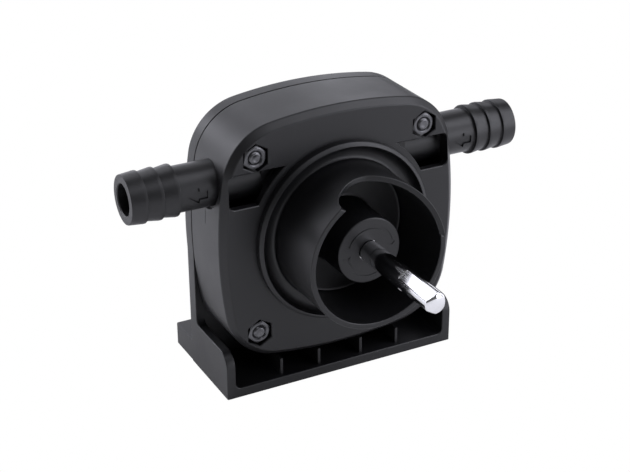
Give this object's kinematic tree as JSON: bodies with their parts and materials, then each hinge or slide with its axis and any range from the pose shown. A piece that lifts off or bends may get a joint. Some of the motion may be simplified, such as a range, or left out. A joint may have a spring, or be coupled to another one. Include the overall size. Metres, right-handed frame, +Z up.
{
  "type": "drill-driven transfer pump",
  "caption": "Black plastic self-priming transfer pump on a bench foot, driven by a round shank in a drill chuck, with a barbed hose stem on each side.",
  "frame": {"origin": "centre of the foot's flat underside", "axes": "+X to the inlet stem's side, +Y from the drive shank's end to the rear cover, +Z up from the bench"},
  "size_m": [0.1568, 0.1131, 0.1072],
  "materials": {
    "casing_plastic": "satin black moulded plastic",
    "cover_plastic": "satin black moulded plastic",
    "stem_plastic": "satin black moulded plastic",
    "seal_rubber": "matte",
    "impeller_rubber": "matte",
    "plate_steel": "brushed stainless steel",
    "clip_steel": "bright spring steel",
    "fastener_steel": "dark zinc plate",
    "bearing_steel": "ground steel",
    "shaft_chrome": "bright, polished",
    "bronze": "turned bronze"
  },
  "bodies": {
    "casing": {"front_housing": "casing_plastic", "rear_cover": "cover_plastic", "casing_seal": "seal_rubber", "wear_plate": "plate_steel", "outlet_stem": "stem_plastic", "inlet_stem": "stem_plastic", "stem_seals": "seal_rubber", "stem_clips": "clip_steel", "casing_bolts": "fastener_steel", "casing_washers": "fastener_steel", "casing_nuts": "fastener_steel", "shaft_seal_case": "clip_steel", "shaft_seal_lip": "seal_rubber", "shaft_seal_spring": "clip_steel", "bearing_outer_ring": "bearing_steel", "bearing_shields": "bearing_steel", "bearing_retainer": "clip_steel", "rear_bush": "bronze"},
    "rotor": {"drive_shaft": "shaft_chrome", "shaft_circlips": "clip_steel", "bearing_inner_ring": "bearing_steel", "drive_pin": "clip_steel", "impeller_sleeve": "bronze", "impeller": "impeller_rubber"},
    "ball_set": {"bearing_balls": "bearing_steel", "bearing_cage": "bronze"}
  },
  "joints": [
    {"name": "shaft_spin", "type": "hinge", "parent": "casing", "child": "rotor", "pos_m": [0, 0, 0.0589], "axis": [0, 1, 0], "continuous": true},
    {"name": "cage_spin", "type": "hinge", "parent": "casing", "child": "ball_set", "pos_m": [0, 0, 0.0589], "axis": [0, 1, 0], "continuous": true}
  ],
  "couplings": [
    {"joint": "cage_spin", "follows": "shaft_spin", "ratio": 0.4}
  ]
}
